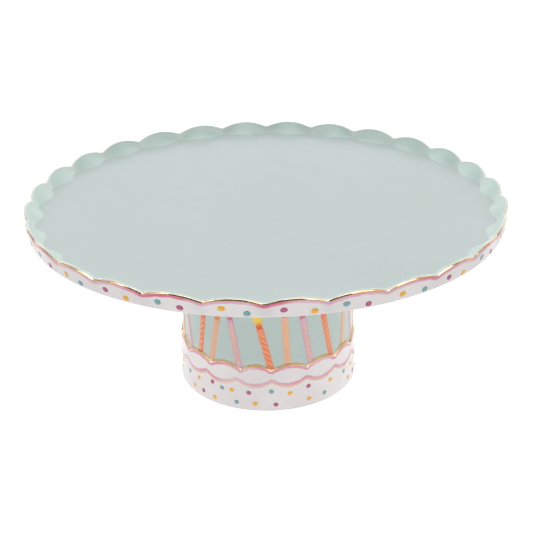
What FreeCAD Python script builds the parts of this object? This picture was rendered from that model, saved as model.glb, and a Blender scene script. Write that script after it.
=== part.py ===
import FreeCAD, Part
import math
import os

# A ceramic cake stand, in millimetres. The table is z = 0, +Z is up and the front is -Y.
# Angles are in degrees from the front and grow towards +X.

# Plate
CREST_HEIGHT = 124.0            # top of a scallop, which is the height of the stand
NOTCH_HEIGHT = 120.8            # top of the lip in the notch between two scallops
CREST_RADIUS = 150.0
NOTCH_RADIUS = 148.6
RIM_SCALLOPS = 28
RIM_TURN = -0.55                # the notch nearest to the front
LIP_RADIUS = 1.3                # half the thickness of the lip
CREST_SLOPE = 45.0              # steepness of a petal where it meets the lip, at its middle
NOTCH_SLOPE = 63.0              # and in the notch
PETAL_POWER = 1.35              # how hollow a petal is: 1 would be a straight slope
SEAT_HEIGHT = 116.5             # the glazed seat that carries the cake
EDGE_RADIUS = 148.6             # foot of the plate's edge
EDGE_ROUNDING = 0.8
EDGE_HEIGHT = 112.5             # underside of the plate at its edge
ROOT_HEIGHT = 110.0             # underside of the plate over the pedestal
ROOT_RADIUS = 56.0
GLAZE = 0.25                    # thickness of glaze, gold and enamel
GOLD_START = 68.0               # where the gold begins on the lip: 90 is its top, 0 its outer side
GOLD_DROP = 0.3                 # how far it runs down the edge

# Pedestal
FOOT_RADIUS = 57.7
FOOT_ROUNDING = 0.6
PEDESTAL_TOP = 109.2
TOP_RADIUS = 54.5
PANEL_RADIUS = 55.9             # panel at the height of the gold line
BASE_TAPER = 0.035              # millimetres narrower for each millimetre up
BAND_PROUD = 0.5                # the raised band stands this far out from the foot below it
BAND_SCALLOPS = 16
BAND_TURN = 1.9                 # the notch nearest to the front
# Its top is cut by hand, so the notches there are off by these angles, in a run that comes twice
BAND_DRIFT = (0.1, 0.8, 0.3, -1.6, 0.9, 3.4, 4.1, 2.8)
BAND_TOP_CREST = 31.6
BAND_TOP_NOTCH = 28.2
BAND_FOOT_CREST = 16.3
BAND_FOOT_NOTCH = 19.8
LEDGE_HEIGHT = 0.8              # rounding along the top of the band
TUCK_HEIGHT = 0.9               # rounding along the foot of the band
INNER_FOOT_RADIUS = 52.4
INNER_TOP_RADIUS = 49.6
FILLET_HOLLOW = 0.35            # how hollow the fillet of slip is: 0.5 would be a straight slope

# Lines of colour along the scallops
LINE_WIDTH = 1.5
YELLOW_WIDTH = 0.9
LINE_GAP = 0.05                 # between two colours that lie side by side
LAYER_GAP = 0.06                # under a dot, stripe or line, so that two curved faces stay clear

# Enamel dots on the plate's edge, two to a scallop: degrees past the notch, and height. They are laid by
# hand, in a run of seven scallops that comes four times.
RIM_DOT_DIAMETER = 3.9
RIM_DOT_RUN = (
    ((3.8, 117.0), (10.0, 115.2)),
    ((3.7, 117.2), (8.5, 115.0)),
    ((3.6, 116.2), (9.4, 114.9)),
    ((3.7, 116.3), (8.7, 114.9)),
    ((3.5, 116.9), (8.8, 115.2)),
    ((3.6, 117.2), (8.4, 115.7)),
    ((4.2, 117.6), (9.3, 115.1)),
)
COLOURS = ("pink", "yellow", "teal")

# Enamel dots on the foot, in two hand-laid rows that fill a third of the way round: the step to the next
# dot, its height and its colour's place in COLOURS
FOOT_DOT_DIAMETER = 3.1
UPPER_DOT_START = -51.1
UPPER_DOTS = ((12.6, 12.3, 1), (7.5, 14.3, 0), (6.8, 12.4, 2), (11.5, 12.4, 1), (14.3, 12.3, 0),
              (11.8, 13.7, 2), (12.5, 11.5, 1), (17.3, 14.0, 0), (14.5, 12.8, 1), (11.2, 12.4, 2))
LOWER_DOT_START = -46.5
LOWER_DOTS = ((9.8, 5.0, 0), (15.9, 3.8, 1), (12.1, 4.6, 2), (13.0, 5.0, 1), (21.9, 4.4, 0),
              (11.8, 4.9, 1), (26.0, 5.5, 2), (9.5, 4.8, 1))
THIRDS = 3
HALVES = 2

# Painted candles on the panel: a hand-laid run of twelve that comes twice. Each has the step to the next
# one, its lean, the height of its top, and 1 where its stripes climb to the right or -1 where they fall.
CANDLE_START = -59.7
CANDLE_RUN = (
    (9.5, -15.7, 60.0, 1),
    (10.6, 7.0, 58.5, 1),
    (20.8, 9.3, 59.2, -1),
    (20.6, -9.8, 61.2, 1),
    (10.7, -13.2, 57.2, -1),
    (16.0, -2.8, 64.5, -1),
    (16.8, -9.4, 61.8, -1),
    (11.8, -11.8, 60.5, 1),
    (15.9, 4.7, 62.0, -1),
    (14.6, -5.2, 61.0, 1),
    (17.4, -7.5, 59.5, -1),
    (15.3, -6.0, 62.5, 1),
)
CANDLE_COLOURS = ("lilac", "coral", "peach")
CANDLE_WIDTH = 4.4              # at the top
CANDLE_FOOT_WIDTH = 4.1
CANDLE_CLEARANCE = 0.35         # gap between a candle's foot and the gold line
STRIPE_PITCH = 3.9
STRIPE_WIDTH = 1.6
STRIPE_RISE = 4.6               # difference in height between a stripe's two ends
STRIPE_THICKNESS = 0.1
WICK_WIDTH = 3.8
WICK_LENGTH = 2.8
WICK_ROUNDING = 0.7
FLAME_FOOT = 4.4                # width of a flame where it meets the wick
FLAME_WIDTH = 5.8
FLAME_LENGTH = 10.0
FLAME_BELLY = 0.35              # where a flame is widest, as a share of its length
FLAME_BOW = (0.03, 0.10)        # bulge of its side below and above the belly, as a share of its width

SCALLOP_SPANS = 8               # spans of a smooth face across one scallop
PETAL_SPANS = 8                 # up a petal
LIP_SPANS = 6                   # round the lip
ROUNDING_SPANS = 6              # round the band's two roundings
PANEL_SPANS = 4                 # up the glaze of the panel
CANDLE_SPANS = (4, 6)           # across and up a candle
STRIPE_SPANS = (2, 2)           # across and up a stripe
CANDLE_FOOT_STEPS = 8           # steps to find where a candle meets the gold line
SEWING_GAP = 0.002
AXIS = FreeCAD.Vector(0, 0, 1)
CENTRE = FreeCAD.Vector(0, 0, 0)


def at(angle, radius, height):
    turn = math.radians(angle)
    return FreeCAD.Vector(radius * math.sin(turn), -radius * math.cos(turn), height)


def blend(start, end, part):
    return start + (end - start) * part


def even_notches(count, turn):
    return [turn + 360.0 * index / count for index in range(count)]


RIM_NOTCHES = even_notches(RIM_SCALLOPS, RIM_TURN)
FOOT_NOTCHES = even_notches(BAND_SCALLOPS, BAND_TURN)
TOP_NOTCHES = [notch + BAND_DRIFT[index % len(BAND_DRIFT)] for index, notch in enumerate(FOOT_NOTCHES)]


def swell(angle, notches):
    """1 at the crest of a scallop and 0 in the notches beside it."""
    first = notches[0]
    around = first + (angle - first) % 360.0
    start = max(notch for notch in notches if notch <= around)
    end = min([notch for notch in notches if notch > around] + [first + 360.0])
    across = 2.0 * (around - start) / (end - start) - 1.0
    return 1.0 - across * across


# ---- building blocks -------------------------------------------------------------------------

def sectors(notches):
    """Angles across every scallop, each from notch to notch."""
    ends = notches[1:] + [notches[0] + 360.0]
    return [[blend(start, end, index / SCALLOP_SPANS) for index in range(SCALLOP_SPANS + 1)]
            for start, end in zip(notches, ends)]


def sheet(section, angles):
    """A smooth face through the sections at these angles, and its first and last long edges."""
    surface = Part.BSplineSurface()
    surface.interpolate([[at(angle, *point) for point in section(angle)] for angle in angles])
    _, _, first, last = surface.bounds()
    return surface.toShape(), surface.vIso(first).toShape(), surface.vIso(last).toShape()


def arc(radius, height, angles):
    first, middle, last = angles[0], angles[len(angles) // 2], angles[-1]
    points = [at(angle, radius, height) for angle in (first, middle, last)]
    return Part.Arc(*points).toShape()


def disc(*loops):
    """A flat face inside a loop of edges, less the loop inside it if there is one."""
    wires = [Part.Wire(Part.__sortEdges__(edges)) for edges in loops]
    return Part.makeFace(wires, "Part::FaceMakerBullseye")


def closed(faces):
    shell = Part.makeShell(faces)
    shell.sewShape(SEWING_GAP)
    solid = Part.makeSolid(shell.Shells[0])
    if solid.Volume < 0:
        solid.reverse()
    return solid


def ring(outer, inner, notches):
    """A closed band round the axis, between an outer and an inner section."""
    faces = []
    for angles in sectors(notches):
        outer_face, *outer_edges = sheet(outer, angles)
        inner_face, *inner_edges = sheet(inner, angles)
        faces += [outer_face, inner_face]
        faces += [Part.makeRuledSurface(*edges) for edges in zip(outer_edges, inner_edges)]
    return closed(faces)


def turned(points, angles):
    """The faces that a run of points sweeps between the first and the last angle."""
    wire = Part.makePolygon([at(angles[0], *point) for point in points])
    return wire.revolve(CENTRE, AXIS, angles[-1] - angles[0]).Faces


def turned_round(centre_radius, centre_height, size, angles):
    """The face of a quarter round, from facing outward to facing down."""
    quarter = [at(angles[0], *point)
               for point in round_points(centre_radius, centre_height, size, 0.0, -90.0, 2)]
    return Part.Arc(*quarter).toShape().revolve(CENTRE, AXIS, angles[-1] - angles[0])


def round_points(centre_radius, centre_height, size, start, end, count):
    """Points along a round, from one angle of its normal to another, in the plane of the axis."""
    result = []
    for index in range(count + 1):
        turn = math.radians(blend(start, end, index / count))
        result.append((centre_radius + size * math.cos(turn), centre_height + size * math.sin(turn)))
    return result


# ---- plate -----------------------------------------------------------------------------------

def rim_swell(angle):
    return swell(angle, RIM_NOTCHES)


def rim_radius(angle):
    return blend(NOTCH_RADIUS, CREST_RADIUS, rim_swell(angle))


def lip_centre(angle):
    top = blend(NOTCH_HEIGHT, CREST_HEIGHT, rim_swell(angle))
    return rim_radius(angle) - LIP_RADIUS, top - LIP_RADIUS


def lip_slope(angle):
    return blend(NOTCH_SLOPE, CREST_SLOPE, rim_swell(angle))


def lip_points(angle, start, end, depth):
    """Points round the lip between two angles of its normal, sunk by a depth."""
    return round_points(*lip_centre(angle), LIP_RADIUS - depth, start, end, LIP_SPANS)


def petal_points(angle, depth):
    """Points up a petal, from where it leaves the flat seat to the lip, sunk by a depth."""
    slope = math.tan(math.radians(lip_slope(angle)))
    end_radius, end_height = lip_points(angle, 90.0 + lip_slope(angle), 0.0, 0.0)[0]
    rise = end_height - SEAT_HEIGHT
    run = rise * PETAL_POWER / slope
    points = []
    for index in range(PETAL_SPANS + 1):
        part = index / PETAL_SPANS
        normal = math.atan(slope * part ** (PETAL_POWER - 1.0))
        radius = end_radius - run * (1.0 - part) + depth * math.sin(normal)
        points.append((radius, SEAT_HEIGHT + rise * part ** PETAL_POWER - depth * math.cos(normal)))
    return points


def top_section(depth, end):
    """Section of the petal and the lip, up to an angle of the lip's normal, sunk by a depth."""
    def section(angle):
        lip = lip_points(angle, 90.0 + lip_slope(angle), end, depth)
        return petal_points(angle, depth) + lip[1:]
    return section


def skirt_radius(angle, height):
    """The plate's edge stands straight from its foot to the side of the lip."""
    side = lip_centre(angle)[1]
    part = (height - EDGE_HEIGHT - EDGE_ROUNDING) / (side - EDGE_HEIGHT - EDGE_ROUNDING)
    return blend(EDGE_RADIUS, rim_radius(angle), part) - GLAZE


def plate():
    foot_radius = EDGE_RADIUS - GLAZE
    foot_height = EDGE_HEIGHT + EDGE_ROUNDING
    edge_centre = foot_radius - EDGE_ROUNDING
    faces = []
    seat_edges = []
    root_edges = []
    for angles in sectors(RIM_NOTCHES):
        top, seat_edge, side_edge = sheet(top_section(GLAZE, 0.0), angles)
        faces += [top, Part.makeRuledSurface(side_edge, arc(foot_radius, foot_height, angles)),
                  turned_round(edge_centre, foot_height, EDGE_ROUNDING, angles)]
        faces += turned([(edge_centre, EDGE_HEIGHT), (ROOT_RADIUS, ROOT_HEIGHT)], angles)
        seat_edges.append(seat_edge)
        root_edges.append(arc(ROOT_RADIUS, ROOT_HEIGHT, angles))
    return closed(faces + [disc(seat_edges), disc(root_edges)])


def plate_glaze():
    faces = []
    seat_edges = {0.0: [], GLAZE: []}
    for angles in sectors(RIM_NOTCHES):
        ends = []
        for depth, edges in seat_edges.items():
            top, seat_edge, end = sheet(top_section(depth, GOLD_START), angles)
            faces.append(top)
            edges.append(seat_edge)
            ends.append(end)
        faces.append(Part.makeRuledSurface(*ends))
    return closed(faces + [disc(edges) for edges in seat_edges.values()])


def rim_gilding():
    def section(depth):
        def points(angle):
            drop = lip_centre(angle)[1] - GOLD_DROP
            end = (skirt_radius(angle, drop) + GLAZE - depth, drop)
            return lip_points(angle, GOLD_START, 0.0, depth) + [end]
        return points
    return ring(section(0.0), section(GLAZE), RIM_NOTCHES)


def rim_pink_line():
    def section(lift):
        def points(angle):
            top = lip_centre(angle)[1] - GOLD_DROP - LINE_GAP
            heights = [top, top - LINE_WIDTH / 2, top - LINE_WIDTH]
            return [(skirt_radius(angle, height) + lift, height) for height in heights]
        return points
    return ring(section(GLAZE), section(LAYER_GAP), RIM_NOTCHES)


# ---- pedestal --------------------------------------------------------------------------------

def band_top(angle):
    return blend(BAND_TOP_NOTCH, BAND_TOP_CREST, swell(angle, TOP_NOTCHES))


def band_foot(angle):
    return blend(BAND_FOOT_NOTCH, BAND_FOOT_CREST, swell(angle, FOOT_NOTCHES))


def base_radius(height):
    return FOOT_RADIUS - BASE_TAPER * (height - FOOT_ROUNDING)


def band_radius(height):
    return base_radius(height) + BAND_PROUD


def panel_radius(height):
    """The bare panel, under its glaze."""
    part = (height - BAND_TOP_NOTCH) / (PEDESTAL_TOP - BAND_TOP_NOTCH)
    return blend(PANEL_RADIUS, TOP_RADIUS, part) - GLAZE


def tuck_section(angle):
    """Rounding along the foot of the band."""
    foot = band_foot(angle)
    inner, outer = base_radius(foot), band_radius(foot + TUCK_HEIGHT)
    points = []
    for index in range(ROUNDING_SPANS + 1):
        turn = math.radians(90.0 * index / ROUNDING_SPANS)
        points.append((blend(inner, outer, math.sin(turn)), foot + TUCK_HEIGHT * (1.0 - math.cos(turn))))
    return points


def ledge_points(angle, lift):
    """Rounding along the top of the band, from its side to the panel."""
    top = band_top(angle)
    start = top - LEDGE_HEIGHT
    step = band_radius(start) - panel_radius(top)
    points = []
    for index in range(ROUNDING_SPANS + 1):
        turn = math.radians(90.0 * index / ROUNDING_SPANS)
        radius = panel_radius(top) + (step + lift) * math.cos(turn)
        points.append((radius, start + (LEDGE_HEIGHT + lift) * math.sin(turn)))
    return points


def pedestal():
    foot_centre = FOOT_RADIUS - FOOT_ROUNDING
    inside = [(foot_centre, 0.0), (INNER_FOOT_RADIUS + FOOT_ROUNDING, 0.0),
              (INNER_FOOT_RADIUS, FOOT_ROUNDING), (INNER_TOP_RADIUS, PEDESTAL_TOP)]
    faces = []
    outer_edges = []
    inner_edges = []
    for low_angles, high_angles in zip(sectors(FOOT_NOTCHES), sectors(TOP_NOTCHES)):
        tuck, tuck_low, tuck_high = sheet(tuck_section, low_angles)
        ledge, ledge_low, ledge_high = sheet(lambda angle: ledge_points(angle, 0.0), high_angles)
        top_edge = arc(TOP_RADIUS - GLAZE, PEDESTAL_TOP, high_angles)
        faces += [tuck, ledge,
                  Part.makeRuledSurface(arc(FOOT_RADIUS, FOOT_ROUNDING, low_angles), tuck_low),
                  Part.makeRuledSurface(tuck_high, ledge_low),
                  Part.makeRuledSurface(ledge_high, top_edge),
                  turned_round(foot_centre, FOOT_ROUNDING, FOOT_ROUNDING, low_angles)]
        faces += turned(inside, low_angles)
        outer_edges.append(top_edge)
        inner_edges.append(arc(INNER_TOP_RADIUS, PEDESTAL_TOP, low_angles))
    return closed(faces + [disc(outer_edges, inner_edges)])


def pedestal_glaze():
    def section(lift):
        def points(angle):
            start = band_top(angle) + GLAZE
            heights = [blend(start, PEDESTAL_TOP, index / PANEL_SPANS) for index in range(PANEL_SPANS + 1)]
            return [(panel_radius(height) + lift, height) for height in heights]
        return points
    return ring(section(GLAZE), section(0.0), TOP_NOTCHES)


def pedestal_gilding():
    def section(lift):
        return lambda angle: ledge_points(angle, lift)
    return ring(section(GLAZE), section(0.0), TOP_NOTCHES)


def painted_line(start_at, width, radius_at, notches):
    """A thin line along scallops, from start_at downwards."""
    def section(lift):
        def points(angle):
            heights = [start_at(angle) - width * part for part in (0.0, 0.5, 1.0)]
            return [(radius_at(height) + lift, height) for height in heights]
        return points
    return ring(section(GLAZE), section(0.0), notches)


def slip_joint():
    """Ring of slip between the castings, with a small fillet squeezed out round the drum."""
    low = (TOP_RADIUS - GLAZE, PEDESTAL_TOP)
    high = (ROOT_RADIUS - GLAZE, ROOT_HEIGHT)
    inner = INNER_TOP_RADIUS + LINE_GAP
    hollow = (blend(low[0], high[0], FILLET_HOLLOW), blend(high[1], low[1], FILLET_HOLLOW))
    corners = [high, (inner, ROOT_HEIGHT), (inner, PEDESTAL_TOP), low]
    fillet = Part.Arc(*[at(0.0, *point) for point in (low, hollow, high)]).toShape()
    rest = Part.makePolygon([at(0.0, *point) for point in corners])
    face = Part.Face(Part.Wire([fillet] + rest.Edges))
    return face.revolve(CENTRE, AXIS, 360)


# ---- enamel ----------------------------------------------------------------------------------

def stand_up(shape, origin, outward):
    """Move a shape drawn in its own X (right) and Y (up) plane onto a wall that faces outward."""
    right = FreeCAD.Vector(0, 0, 1).cross(outward).normalize()
    up = outward.cross(right)
    placement = FreeCAD.Placement(origin, FreeCAD.Rotation(right, up, outward, "ZXY"))
    moved = shape.copy()
    moved.Placement = placement
    return moved


def wall_normal(radius_at, angle, height):
    """Outward normal of a wall whose radius is radius_at(angle, height)."""
    small = 0.05
    here = at(angle, radius_at(angle, height), height)
    beside = at(angle + small, radius_at(angle + small, height), height)
    above = at(angle, radius_at(angle, height + small), height + small)
    return (beside - here).cross(above - here).normalize()


def dot(radius_at, angle, height, diameter):
    """A round dab of enamel, flat, square to the wall."""
    outward = wall_normal(radius_at, angle, height)
    origin = at(angle, radius_at(angle, height), height) + outward * LAYER_GAP
    return stand_up(Part.makeCylinder(diameter / 2.0, GLAZE), origin, outward)


def rim_dots():
    """Two dots to a scallop. Their three colours take turns, from the front both ways."""
    dots = {colour: [] for colour in COLOURS}
    for scallop in range(-RIM_SCALLOPS // 2, RIM_SCALLOPS // 2):
        for index, (place, height) in enumerate(RIM_DOT_RUN[scallop % len(RIM_DOT_RUN)]):
            colour = COLOURS[(2 * scallop + index) % len(COLOURS)]
            angle = RIM_NOTCHES[scallop] + place
            dots[colour].append(dot(skirt_radius, angle, height, RIM_DOT_DIAMETER))
    return dots


def foot_dots():
    dots = {colour: [] for colour in COLOURS}
    for angle, row in ((UPPER_DOT_START, UPPER_DOTS), (LOWER_DOT_START, LOWER_DOTS)):
        for step, height, colour in row * THIRDS:
            made = dot(lambda _, z: base_radius(z), angle, height, FOOT_DOT_DIAMETER)
            dots[COLOURS[colour]].append(made)
            angle += step
    return dots


def candles():
    """Angle of the foot, top, lean and turn of the stripes of every candle."""
    angle = CANDLE_START
    for step, lean, top, turn in CANDLE_RUN * HALVES:
        yield angle, top, math.radians(lean), turn
        angle += step


def candle_length(candle):
    _, top, lean, _ = candle
    return (top - BAND_TOP_NOTCH) / math.cos(lean)


def on_candle(candle, across, along, lift):
    """A point of the panel: across the candle from -0.5 to 0.5, and so far up it from the band's notches."""
    angle, _, lean, _ = candle
    aside = across * blend(CANDLE_FOOT_WIDTH, CANDLE_WIDTH, along / candle_length(candle))
    height = BAND_TOP_NOTCH + along * math.cos(lean) - aside * math.sin(lean)
    turned_by = math.degrees((aside * math.cos(lean) + along * math.sin(lean)) / PANEL_RADIUS)
    return angle + turned_by, panel_radius(height) + GLAZE + lift, height


def candle_foot(candle, across):
    """How far up the candle its foot is, on the side given by across, to stand on the gold line."""
    along = 0.0
    for _ in range(CANDLE_FOOT_STEPS):
        angle, _, height = on_candle(candle, across, along, 0.0)
        along += band_top(angle) + GLAZE + CANDLE_CLEARANCE - height
    return along


def patch(point_at, columns, rows):
    """A thin closed piece on the panel. point_at(column, row, side) is on its front or its back."""
    faces = []
    edges = []
    for side in (0, 1):
        grid = [[at(*point_at(column / columns, row / rows, side)) for row in range(rows + 1)]
                for column in range(columns + 1)]
        surface = Part.BSplineSurface()
        surface.interpolate(grid)
        faces.append(surface.toShape())
        left, right, low, high = surface.bounds()
        edges.append([surface.uIso(left).toShape(), surface.uIso(right).toShape(),
                      surface.vIso(low).toShape(), surface.vIso(high).toShape()])
    return closed(faces + [Part.makeRuledSurface(back, front) for back, front in zip(*edges)])


def candle_wax(candle):
    length = candle_length(candle)

    def point_at(column, row, side):
        across = column - 0.5
        return on_candle(candle, across, blend(candle_foot(candle, across), length, row), GLAZE * side)
    return patch(point_at, *CANDLE_SPANS)


def stripes(candle):
    """Slanting stripes across one candle."""
    turn = candle[3]
    start = max(candle_foot(candle, -0.5), candle_foot(candle, 0.5)) + STRIPE_RISE / 2.0
    room = candle_length(candle) - start - STRIPE_WIDTH - STRIPE_RISE / 2.0
    result = []
    for index in range(int(room / STRIPE_PITCH) + 1):
        def point_at(column, row, side):
            along = start + index * STRIPE_PITCH + STRIPE_RISE * turn * (column - 0.5) + STRIPE_WIDTH * row
            return on_candle(candle, column - 0.5, along, GLAZE + LAYER_GAP + STRIPE_THICKNESS * side)
        result.append(patch(point_at, *STRIPE_SPANS))
    return result


def flame_outline():
    """A flame, flat below and pointed above, that stands on the origin."""
    belly = FLAME_LENGTH * FLAME_BELLY
    tip = FreeCAD.Vector(0, FLAME_LENGTH, 0)
    right_foot, left_foot = (FreeCAD.Vector(side * FLAME_FOOT / 2.0, 0, 0) for side in (1, -1))
    right, left = (FreeCAD.Vector(side * FLAME_WIDTH / 2.0, belly, 0) for side in (1, -1))
    low_bow, high_bow = (share * FLAME_WIDTH for share in FLAME_BOW)

    def side(start, end, bulge):
        """An arc that bulges to the right of its way from start to end."""
        chord = (end - start).normalize()
        middle = (start + end) * 0.5 + FreeCAD.Vector(chord.y, -chord.x, 0) * bulge
        return Part.Arc(start, middle, end).toShape()
    return Part.Face(Part.Wire([Part.makeLine(left_foot, right_foot),
                                side(right_foot, right, low_bow), side(right, tip, high_bow),
                                side(tip, left, high_bow), side(left, left_foot, low_bow)]))


def above_candle(candle, gap, shape):
    """Stand a thin upright shape a gap above the top of a candle, along its lean."""
    angle, radius, height = on_candle(candle, 0.0, candle_length(candle) + gap, LINE_GAP)
    outward = at(angle, 1.0, 0.0)
    leaning = shape.copy()
    leaning.rotate(CENTRE, AXIS, -math.degrees(candle[2]))
    return stand_up(leaning, at(angle, radius, height), outward)


def wick(candle):
    """The red heart of a flame, a low rounded block."""
    bar = Part.makeBox(WICK_WIDTH, WICK_LENGTH, GLAZE, FreeCAD.Vector(-WICK_WIDTH / 2, 0, 0))
    uprights = [edge for edge in bar.Edges if abs(edge.tangentAt(edge.FirstParameter).z) > 0.9]
    return above_candle(candle, LINE_GAP, bar.makeFillet(WICK_ROUNDING, uprights))


def flame(candle):
    drop = flame_outline().extrude(FreeCAD.Vector(0, 0, GLAZE))
    return above_candle(candle, WICK_LENGTH + LINE_GAP * 2, drop)


# ---- the whole stand -------------------------------------------------------------------------

def build():
    nodes = {
        "plate": plate(),
        "plate_mint_glaze": plate_glaze(),
        "rim_gilding": rim_gilding(),
        "rim_pink_line": rim_pink_line(),
        "pedestal": pedestal(),
        "pedestal_mint_glaze": pedestal_glaze(),
        "pedestal_gilding": pedestal_gilding(),
        "pedestal_pink_line": painted_line(
            lambda angle: band_top(angle) - LEDGE_HEIGHT - LINE_GAP, LINE_WIDTH, band_radius, TOP_NOTCHES),
        "icing_edge_pink_line": painted_line(
            lambda angle: band_foot(angle) + TUCK_HEIGHT + LINE_GAP + LINE_WIDTH, LINE_WIDTH, band_radius,
            FOOT_NOTCHES),
        "icing_edge_yellow_line": painted_line(
            lambda angle: band_foot(angle) - LINE_GAP, YELLOW_WIDTH, base_radius, FOOT_NOTCHES),
        "slip_joint": slip_joint(),
    }
    for family, dots in (("rim_dots", rim_dots()), ("foot_dots", foot_dots())):
        for colour, solids in dots.items():
            nodes[family + "_" + colour] = Part.makeCompound(solids)
    drawn = list(candles())
    for index, colour in enumerate(CANDLE_COLOURS):
        nodes["candles_" + colour] = Part.makeCompound([candle_wax(candle) for candle in drawn[index::3]])
    nodes["candle_stripes"] = Part.makeCompound([stripe for candle in drawn for stripe in stripes(candle)])
    nodes["candle_wicks"] = Part.makeCompound([wick(candle) for candle in drawn])
    nodes["candle_flames"] = Part.makeCompound([flame(candle) for candle in drawn])
    return nodes


def main():
    os.makedirs("parts", exist_ok=True)
    for name, shape in build().items():
        box = shape.BoundBox
        print("%-24s %3d solids %8.1f mm3  z %.2f..%.2f  valid %s" % (
            name, len(shape.Solids), shape.Volume, box.ZMin, box.ZMax, shape.isValid()))
        shape.exportStep("parts/" + name + ".step")


main()
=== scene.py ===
import math

import bpy
import numpy as np
from mathutils import Matrix, Vector


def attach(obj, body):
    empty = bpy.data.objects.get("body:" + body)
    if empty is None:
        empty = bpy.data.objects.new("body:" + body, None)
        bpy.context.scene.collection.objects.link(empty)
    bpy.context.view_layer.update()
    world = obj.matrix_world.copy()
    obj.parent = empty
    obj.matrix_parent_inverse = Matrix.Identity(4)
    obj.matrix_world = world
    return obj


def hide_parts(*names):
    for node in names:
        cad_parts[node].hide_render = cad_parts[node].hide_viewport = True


# The looks of a ceramic cake stand, in metres, in the frame of its CAD model: the table is z = 0, +Z is up
# and the front is -Y. Angles round the stand are in radians, from the front and growing towards +X.
# A section is an array of (angle, point, radius or height). Drawn with the radius to the right, its points
# run clockwise: outwards along a top, and then down a side.

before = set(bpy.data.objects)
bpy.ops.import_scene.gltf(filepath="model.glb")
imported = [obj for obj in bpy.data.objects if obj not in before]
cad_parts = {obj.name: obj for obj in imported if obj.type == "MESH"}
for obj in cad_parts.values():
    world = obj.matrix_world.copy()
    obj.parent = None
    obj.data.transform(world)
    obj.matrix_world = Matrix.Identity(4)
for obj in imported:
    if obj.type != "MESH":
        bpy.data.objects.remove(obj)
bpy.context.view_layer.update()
MM = 0.001
TURN = 2.0 * math.pi


def measure(node):
    """Smallest and largest distance from the axis, and lowest and highest point, of a CAD node."""
    x, y, z = np.array([vertex.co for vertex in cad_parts[node].data.vertices]).T
    radii = np.hypot(x, y)
    return radii.min(), radii.max(), z.min(), z.max()


# ---- dimensions, from the frame where it has them ----

GLAZE = 0.25 * MM  # thickness of a glaze
RIM_SCALLOPS = 28
RIM_TURN = math.radians(-0.55)  # the notch nearest to the front
LIP_RADIUS = 1.3 * MM
CREST_RISE = 3.2 * MM  # a crest of the rim above a notch
CREST_REACH = 1.4 * MM  # and further out
CREST_SLOPE = math.radians(45.0)  # steepness of a petal under the lip, at its middle
NOTCH_SLOPE = math.radians(63.0)  # and in the notch
PETAL_POWER = 1.35  # how hollow a petal is: 1 would be a straight slope
EDGE_ROUNDING = 0.8 * MM  # of the plate's lower edge

_, CREST_RADIUS, _, _ = measure("rim_gilding")
_, _, SEAT_FLOOR, CREST_HEIGHT = measure("plate_mint_glaze")
SEAT_HEIGHT = SEAT_FLOOR + GLAZE
ROOT_RADIUS, _, ROOT_HEIGHT, _ = measure("plate")
EDGE_RADIUS = CREST_RADIUS - CREST_REACH
EDGE_HEIGHT = ROOT_HEIGHT + 2.5 * MM  # the underside rises this much from the drum to the edge

BAND_SCALLOPS = 16
BAND_TURN = math.radians(1.9)
BAND_DRIFT = np.radians((0.1, 0.8, 0.3, -1.6, 0.9, 3.4, 4.1, 2.8))  # its top is cut by hand: a run, twice
BAND_RISE = 3.4 * MM  # crests of the band's top edge above its notches
BAND_DROP = 3.5 * MM  # crests of its lower edge below their notches
BAND_PROUD = 0.5 * MM
LEDGE_HEIGHT = 0.8 * MM  # rounding of the band's top edge
TUCK_HEIGHT = 0.9 * MM  # and of its lower edge
BASE_TAPER = 0.035  # how much the radius shrinks for each unit of height
FOOT_ROUNDING = 0.6 * MM
INNER_FOOT_RADIUS = 52.4 * MM
LINE_GAP = 0.05 * MM  # between two colours that lie side by side in the CAD model

INNER_TOP_RADIUS, FOOT_RADIUS, _, PEDESTAL_TOP = measure("pedestal")
BARE_TOP_RADIUS, PANEL_FOOT_RADIUS, PANEL_FOOT, _ = measure("pedestal_mint_glaze")
BAND_TOP_NOTCH = PANEL_FOOT - GLAZE
BAND_FOOT_NOTCH = measure("icing_edge_yellow_line")[3] + LINE_GAP

NOTCH_SOFTNESS = 0.05  # how far glaze rounds a notch, as a share of half a scallop
COLUMNS = 896  # round the stand: 32 to a scallop of the rim, 56 to one of the band


def blend(start, end, part):
    return start + (end - start) * part


def softened(part):
    """A straight climb from 0, with its start rounded off."""
    return np.hypot(part, NOTCH_SOFTNESS) - NOTCH_SOFTNESS


def swell(angle, count, turn):
    """1 at the crest of a scallop and 0 in the notches beside it, which the glaze has rounded a little."""
    part = 1.0 - np.abs(2.0 * (((angle - turn) * count / TURN) % 1.0) - 1.0)
    climb = softened(part) / softened(1.0)
    return climb * (2.0 - climb)


def rim_swell(angle):
    return swell(angle, RIM_SCALLOPS, RIM_TURN)


def rim_radius(angle):
    return CREST_RADIUS - CREST_REACH * (1.0 - rim_swell(angle))


def lip_centre(angle):
    top = CREST_HEIGHT - CREST_RISE * (1.0 - rim_swell(angle))
    return rim_radius(angle) - LIP_RADIUS, top - LIP_RADIUS


def lip_slope(angle):
    return blend(NOTCH_SLOPE, CREST_SLOPE, rim_swell(angle))


def skirt_radius(angle, height):
    """The plate's edge, from its foot to the side of the lip."""
    foot = EDGE_HEIGHT + EDGE_ROUNDING
    part = (height - foot) / (lip_centre(angle)[1] - foot)
    return blend(EDGE_RADIUS, rim_radius(angle), part) - GLAZE


def band_top(angle):
    return BAND_TOP_NOTCH + BAND_RISE * swell(angle, BAND_SCALLOPS, BAND_TURN)


def band_foot(angle):
    return BAND_FOOT_NOTCH - BAND_DROP * swell(angle, BAND_SCALLOPS, BAND_TURN)


def base_radius(height):
    return FOOT_RADIUS - BASE_TAPER * (height - FOOT_ROUNDING)


def band_radius(height):
    return base_radius(height) + BAND_PROUD


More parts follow.
